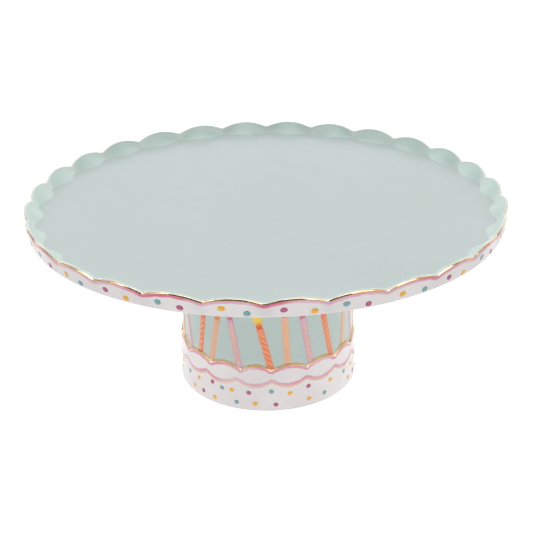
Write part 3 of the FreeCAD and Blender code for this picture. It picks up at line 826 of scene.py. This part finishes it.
def dot(radius_at, part, flatness, draw):
    """A slightly uneven dab that follows the wall, in the place and width of a CAD dot."""
    middle = 0.5 * (part.min(axis=0) + part.max(axis=0))
    angle = math.atan2(middle[0], -middle[1])
    size = 0.5 * (part[:, 2].max() - part[:, 2].min())
    spoke = TURN * np.arange(DOT_SPOKES) / DOT_SPOKES
    outline = 1.0 + DOT_OVAL * np.cos(2 * spoke + draw.uniform(0, TURN))
    outline += DOT_CORNERS * np.cos(3 * spoke + draw.uniform(0, TURN))
    ring = np.linspace(1.0, 0.0, DOT_RINGS + 1)[:-1, None]
    across = size * outline * ring
    height = middle[2] + flatness * across * np.sin(spoke)
    turned = angle + across * np.cos(spoke) / math.hypot(middle[0], middle[1])
    lift = DOT_LIFT * np.sqrt(1.0 - ring ** 4)
    rim = places(turned, radius_at(turned, height) + lift, height)
    crown = places(angle, radius_at(angle, middle[2]) + DOT_LIFT, middle[2])
    bed = places(angle, radius_at(angle, middle[2]) - BED, middle[2])
    points = np.concatenate([rim.reshape(-1, 3), [crown, bed]])
    faces = []
    for ring_index in range(DOT_RINGS - 1):
        for index in range(DOT_SPOKES):
            here = ring_index * DOT_SPOKES + index
            beside = ring_index * DOT_SPOKES + (index + 1) % DOT_SPOKES
            faces.append((here, beside, beside + DOT_SPOKES, here + DOT_SPOKES))
    last = (DOT_RINGS - 1) * DOT_SPOKES
    for index in range(DOT_SPOKES):
        beside = (index + 1) % DOT_SPOKES
        faces.append((last + index, last + beside, len(points) - 2))
        faces.append((beside, index, len(points) - 1))
    edge = np.append(np.broadcast_to(ring, across.shape).ravel(), [0.0, 1.0])
    return points, faces, {"edge": edge}


def add_dots(family, radius_at, flatness):
    """One piece to a colour. flatness is the height of a dab as a share of its width."""
    for index, (name, material) in enumerate(DOT_COLOURS.items()):
        node = family + "_" + name
        draw = np.random.default_rng(40 + index)
        parts = [dot(radius_at, part, flatness, draw) for part in loose_parts(node)]
        add_piece(gathered(node + "_enamel", parts), material, name + "_enamel", node)


add_dots("rim_dots", skirt_radius, 0.82)
add_dots("foot_dots", lambda angle, height: base_radius(height), 0.95)

# ---- painted candles ----

# A listed run of twelve that comes twice: the step to the next candle and the lean, in degrees, the height
# of its top, and 1 where its stripes climb to the right or -1 where they fall.
CANDLE_RUN = (
    (9.5, -15.7, 60.0 * MM, 1),
    (10.6, 7.0, 58.5 * MM, 1),
    (20.8, 9.3, 59.2 * MM, -1),
    (20.6, -9.8, 61.2 * MM, 1),
    (10.7, -13.2, 57.2 * MM, -1),
    (16.0, -2.8, 64.5 * MM, -1),
    (16.8, -9.4, 61.8 * MM, -1),
    (11.8, -11.8, 60.5 * MM, 1),
    (15.9, 4.7, 62.0 * MM, -1),
    (14.6, -5.2, 61.0 * MM, 1),
    (17.4, -7.5, 59.5 * MM, -1),
    (15.3, -6.0, 62.5 * MM, 1),
)
CANDLE_START = math.radians(-59.7)
CANDLE_COLOURS = {
    "lilac": (colour(232, 194, 212), colour(218, 168, 192)),
    "coral": (colour(255, 164, 122), colour(250, 128, 92)),
    "peach": (colour(252, 210, 172), colour(240, 180, 154)),
}
CANDLE_WIDTH = 4.4 * MM
CANDLE_FOOT_WIDTH = 4.1 * MM
CANDLE_LIFT = 0.35 * MM
STRIPE_PITCH = 3.9 * MM
STRIPE_WIDTH = 1.6 * MM
STRIPE_RISE = 4.6 * MM
STRIPE_LIFT = 0.07 * MM
STRIPE_REACH = (0.88, 0.95, 0.85)  # share of the candle's width that stripes cross, colour by colour
WICK_WIDTH = 4.0 * MM
WICK_LENGTH = 2.8 * MM
WICK_OVERLAP = 0.2 * MM  # over the candle below it and the flame above it
WICK_LIFT = 0.34 * MM
FLAME_WIDTH = 5.8 * MM
FLAME_LENGTH = 10.0 * MM
FLAME_LIFT = 0.30 * MM
FLAME_PARTS = (0.0, 0.05, 0.15, 0.3, 0.4, 0.5, 0.65, 0.8, 0.92, 1.0)  # up a flame
FLAME_SIDE = (0.70, 0.80, 0.91, 0.99, 1.0, 0.96, 0.80, 0.53, 0.24, 0.02)  # half its width there
TOP_HEIGHTS = band_top(BAND_ANGLES)[:, 0]


class Candle:
    """A painted candle: its place on the panel and the way along it."""

    def __init__(self, angle, lean, top, climb):
        self.angle = angle
        self.lean = math.radians(lean)
        self.climb = climb
        self.length = (top - BAND_TOP_NOTCH) / math.cos(self.lean)

    def width(self, along):
        return blend(CANDLE_FOOT_WIDTH, CANDLE_WIDTH, np.minimum(along / self.length, 1.0))

    def spot(self, aside, along):
        """Angle and height of a point so far to the right of the candle's axis and so far up it."""
        height = BAND_TOP_NOTCH + along * math.cos(self.lean) - aside * math.sin(self.lean)
        right = aside * math.cos(self.lean) + along * math.sin(self.lean)
        return self.angle + right / PANEL_FOOT_RADIUS, height

    def place(self, aside, along, lift):
        """Such a point, so far off the glaze."""
        angle, height = self.spot(aside, along)
        return places(angle, panel_radius(height) + GLAZE + lift, height)

    def foot(self, aside):
        """How far up the candle the gold line of the band is."""
        along = np.zeros_like(aside)
        for _ in range(8):
            angle, height = self.spot(aside, along)
            along = along + np.interp(angle, TOP_ANGLES[:, 0], TOP_HEIGHTS, period=TURN) + GLAZE - height
        return along


def all_candles():
    angle = CANDLE_START
    found = []
    for step, lean, top, climb in CANDLE_RUN * 2:
        found.append(Candle(angle, lean, top, climb))
        angle += math.radians(step)
    return found


def wax_lift(across):
    """A candle stands off the panel like a flattened rod. across is -1 and 1 at its sides."""
    return CANDLE_LIFT * np.sqrt(np.maximum(1.0 - np.abs(across) ** 3, 0.0))


def grid(across_points, up_points):
    """From -1 to 1 across a painted piece, and from 0 to 1 up it."""
    return np.linspace(-1.0, 1.0, across_points)[:, None], np.linspace(0.0, 1.0, up_points)


def on_slab(values, shape):
    """A number for each point of a slab, front and back, from numbers over its grid."""
    return np.concatenate([np.broadcast_to(values, shape).ravel()] * 2)


def candle_wax(candle):
    across, part = grid(13, 29)
    foot = candle.foot(across * CANDLE_FOOT_WIDTH / 2.0)
    along = blend(foot, candle.length, part)
    aside = across * candle.width(along) / 2.0
    round_end = np.sqrt(np.clip((1.0 - part) / 0.03, 0.0, 1.0))
    front = candle.place(aside, along, wax_lift(across) * round_end)
    points, faces = slab(front, candle.place(aside, along, -BED))
    value = on_slab(across, along.shape)
    return points, faces, {"edge": np.abs(value), "across": value * CANDLE_WIDTH / 2.0,
                           "load": np.ones(len(value))}


def candle_stripes(candle, kind, draw):
    """Slanting stripes across a candle, which taper to their ends."""
    across, part = grid(13, 7)
    start = candle.foot(across * CANDLE_FOOT_WIDTH / 2.0).max() + STRIPE_RISE / 2.0
    room = candle.length - start - STRIPE_WIDTH - STRIPE_RISE / 2.0
    result = []
    for index in range(int(room / STRIPE_PITCH) + 1):
        reach = STRIPE_REACH[kind] * draw.uniform(0.9, 1.05)
        middle = start + index * STRIPE_PITCH + candle.climb * STRIPE_RISE * reach * across / 2.0
        half = STRIPE_WIDTH / 2.0 * draw.uniform(0.8, 1.1) * (1.0 - 0.75 * np.abs(across) ** 2.5)
        along = middle + STRIPE_WIDTH / 2.0 + half * (2.0 * part - 1.0)
        aside = reach * across * candle.width(along) / 2.0
        crown = STRIPE_LIFT * np.sqrt(np.maximum(1.0 - np.abs(2.0 * part - 1.0) ** 4, 0.0))
        bed = wax_lift(reach * across)
        points, faces = slab(candle.place(aside, along, bed + crown), candle.place(aside, along, bed - BED))
        value = on_slab(part, along.shape)
        result.append((points, faces, {"edge": np.abs(2.0 * value - 1.0), "across": value * STRIPE_WIDTH,
                                       "tone": np.full(len(value), kind / 2.0)}))
    return result


def blob(candle, start, width, length, lift, half_width):
    """A round-edged drop of enamel above the candle. half_width(part) is its outline, from 0 to 1."""
    across, part = grid(13, 25)
    part = 0.5 - 0.5 * np.cos(math.pi * part)
    along = start + length * part
    aside = across * width / 2.0 * half_width(part)
    dome = np.sqrt(np.maximum(1.0 - across ** 4, 0.0)) * np.sqrt(np.clip(4.0 * part * (1.0 - part), 0.0, 1.0))
    points, faces = slab(candle.place(aside, along, lift * dome), candle.place(aside, along, -BED))
    return points, faces, {"along": on_slab(part, aside.shape)}


def candle_wick(candle, kind):
    """The heart of a flame, sitting on the candle's top like a drop on a shelf."""
    points, faces, values = blob(candle, candle.length - WICK_OVERLAP, WICK_WIDTH,
                                 WICK_LENGTH + 2.0 * WICK_OVERLAP, WICK_LIFT,
                                 lambda part: 0.80 + 0.20 * np.sin(math.pi * part))
    return points, faces, {**values, "tone": np.full(len(points), kind / 2.0)}


def candle_flame(candle):
    return blob(candle, candle.length + WICK_LENGTH, FLAME_WIDTH, FLAME_LENGTH, FLAME_LIFT,
                lambda part: np.interp(part, FLAME_PARTS, FLAME_SIDE))


def add_candles():
    drawn = all_candles()
    for index, (name, (plain, deep)) in enumerate(CANDLE_COLOURS.items()):
        parts = [candle_wax(candle) for candle in drawn[index::3]]
        material = brushwork("candle_" + name, plain, deep, 0.8)
        add_piece(gathered("candle_wax_" + name, parts), material, "candle_" + name, "candles_" + name)
    draw = np.random.default_rng(61)
    stripes = []
    for index, candle in enumerate(drawn):
        stripes += candle_stripes(candle, index % 3, draw)
    add_piece(gathered("candle_stripe_enamel", stripes), stripe_paint(), "stripe_yellow", "candle_stripes")
    wicks = [candle_wick(candle, index % 3) for index, candle in enumerate(drawn)]
    add_piece(gathered("candle_wick_enamel", wicks), wick_paint(), "wick_red", "candle_wicks")
    flames = [candle_flame(candle) for candle in drawn]
    add_piece(gathered("candle_flame_enamel", flames), flame_paint(), "flame_yellow", "candle_flames")


add_candles()

# ---- camera, floor and light ----

CAMERA_PLACE = (0.0, -0.67166, 0.38287)
CAMERA_TILT = math.radians(65.253)
CAMERA_ROLL = math.radians(-0.922)
CAMERA_YAW = math.radians(0.02)
CAMERA_LENS = 77.2  # in millimetres, like the sensor
CAMERA_SENSOR = 36.0


def add_camera():
    data = bpy.data.cameras.new("camera")
    data.lens = CAMERA_LENS
    data.sensor_width = CAMERA_SENSOR
    camera = add_object("camera", data)
    camera.matrix_world = (Matrix.Translation(CAMERA_PLACE) @ Matrix.Rotation(CAMERA_YAW, 4, "Z")
                           @ Matrix.Rotation(CAMERA_TILT, 4, "X") @ Matrix.Rotation(CAMERA_ROLL, 4, "Z"))
    bpy.context.scene.camera = camera


FLOOR_HALF = 3.0
FLOOR_GLOW = 0.82  # as the camera sees it


def floor_glow(tree, rays, place, unlit):
    """The glow of the floor, which is less where the ware mirrors it and where it lights the ware."""
    aside = calculated(tree, "ABSOLUTE", place["X"], 0.0)
    mirrored = product(tree, ranged(tree, place["Y"], -0.05, 0.10, 0.50, 0.90),
                       ranged(tree, aside, 0.16, 0.26, 1.0, 0.65))
    cast = product(tree, ranged(tree, aside, 0.10, 0.30, 0.86, 0.48),
                   ranged(tree, place["Y"], -0.02, 0.12, 1.0, 0.55))
    lit = mixed_number(tree, rays["Is Diffuse Ray"], FLOOR_GLOW, cast)
    lit = mixed_number(tree, rays["Is Glossy Ray"], lit, mirrored)
    return product(tree, ranged(tree, unlit, 0.0, 1.0, 1.0, 0.0), lit)


def add_floor():
    """A pale floor that glows a little, as a lit studio table does, so that it stays white under the plate.
    What mirrors it sees it black in front."""
    mesh = bpy.data.meshes.new("floor")
    corners = [(-FLOOR_HALF, -FLOOR_HALF, 0.0), (FLOOR_HALF, -FLOOR_HALF, 0.0),
               (FLOOR_HALF, FLOOR_HALF, 0.0), (-FLOOR_HALF, FLOOR_HALF, 0.0)]
    mesh.from_pydata(corners, [], [(0, 1, 2, 3)])
    material, tree, shader = new_material("floor", Emission_Color=(1.0, 1.0, 1.0, 1.0))
    rays = add_node(tree, "LightPath", {}).outputs
    place = components(tree, position(tree))
    unlit = product(tree, rays["Is Glossy Ray"], ranged(tree, place["Y"], -0.36, -0.28, 1.0, 0.0))
    tree.links.new(floor_glow(tree, rays, place, unlit), shader.inputs["Emission Strength"])
    pale = mixed(tree, clouded(tree, 3.0, 2.0), (0.30, 0.30, 0.30, 1.0), (0.32, 0.32, 0.32, 1.0))
    tree.links.new(mixed(tree, unlit, pale, (0.01, 0.01, 0.01, 1.0)), shader.inputs["Base Color"])
    tree.links.new(clouded(tree, 8.0, 2.0, 0.75, 0.85), shader.inputs["Roughness"])
    mesh.materials.append(material)
    floor = add_object("floor", mesh)


def add_area_light(name, place, target, size, power, tint):
    data = bpy.data.lights.new(name, "AREA")
    data.shape = "RECTANGLE"
    data.size, data.size_y = size
    data.energy = power
    data.color = tint
    light = add_object(name, data)
    away = Vector(place) - Vector(target)
    light.matrix_world = Matrix.Translation(place) @ away.to_track_quat("Z", "Y").to_matrix().to_4x4()


# Bearings in the studio, as angles round the stand, and heights, as the rise of a way of length 1
BORDER = 0.05
FRONT_GAP = (-0.90, 0.45)
SIDE_GAPS = ((-2.20, -1.45), (1.40, 2.00))
SIDE_PANELS = ((0.50, 1.30), (-1.35, -0.95))
REAR_PANELS = ((2.1, 2.9), (-2.9, -2.1))
SEAT_MIRRORS = (0.17, 0.45)  # the seat mirrors these heights when it is seen from the side


def between(tree, value, start, end):
    """1 where the value is between two limits, with soft borders."""
    return product(tree, ranged(tree, value, start - BORDER, start + BORDER),
                   ranged(tree, value, end - BORDER, end + BORDER, 1.0, 0.0))


def in_either(tree, value, spans):
    return total(tree, between(tree, value, *spans[0]), between(tree, value, *spans[1]))


def mirrored_studio(tree, way, bearing):
    """What mirrors in the ware: bright panels overhead and at the sides, and dark gaps, mostly in front."""
    low = ranged(tree, way["Z"], 0.88, 0.95, 1.0, 0.0)
    sides = product(tree, in_either(tree, bearing, SIDE_GAPS),
                    ranged(tree, between(tree, way["Z"], *SEAT_MIRRORS), 0.0, 1.0, 1.0, 0.15))
    gaps = total(tree, between(tree, bearing, *FRONT_GAP), sides)
    panels = total(tree, product(tree, low, in_either(tree, bearing, SIDE_PANELS)),
                   ranged(tree, way["Z"], 0.94, 0.97, 0.0, 1.8))
    unlit = ranged(tree, product(tree, low, gaps), 0.0, 1.0, 1.0, 0.012)
    return product(tree, total(tree, panels, 1.0), unlit)


def studio_light(tree, way, bearing):
    """What lights the ware: an even light, which is dim in front, and two panels behind."""
    level = ranged(tree, way["Z"], 0.58, 0.66, 1.0, 0.0)
    front = product(tree, level, ranged(tree, way["Y"], -0.40, -0.30, 1.0, 0.0))
    behind = product(tree, product(tree, level, in_either(tree, bearing, REAR_PANELS)),
                     ranged(tree, way["Z"], 0.08, 0.20))
    return total(tree, ranged(tree, front, 0.0, 1.0, 0.88, 0.30), product(tree, behind, 1.5))


def add_world():
    """A studio that the camera sees plain white."""
    world = bpy.data.worlds.new("studio")
    bpy.context.scene.world = world
    world.use_nodes = True
    tree = world.node_tree
    tree.nodes.clear()
    way = components(tree, add_node(tree, "TexCoord", {}).outputs["Generated"])
    bearing = calculated(tree, "ARCTAN2", way["X"], product(tree, way["Y"], -1.0))
    rays = add_node(tree, "LightPath", {}).outputs
    unseen = mixed_number(tree, rays["Is Glossy Ray"], studio_light(tree, way, bearing),
                          mirrored_studio(tree, way, bearing))
    strength = mixed_number(tree, rays["Is Camera Ray"], unseen, 1.0)
    background = add_node(tree, "Background", {"Color": (1.0, 1.0, 1.0, 1.0), "Strength": strength})
    add_node(tree, "OutputWorld", {"Surface": background.outputs[0]})


bpy.context.scene.view_settings.view_transform = "Standard"
add_camera()
add_floor()
add_world()
add_area_light("left_key", (-1.0, -0.7, 0.9), (0.0, 0.0, 0.1), (0.25, 0.25), 0.7, (1.0, 0.99, 0.97))
add_area_light("right_key", (1.1, -0.6, 0.7), (0.0, 0.0, 0.08), (0.20, 0.30), 0.5, (1.0, 0.985, 0.97))
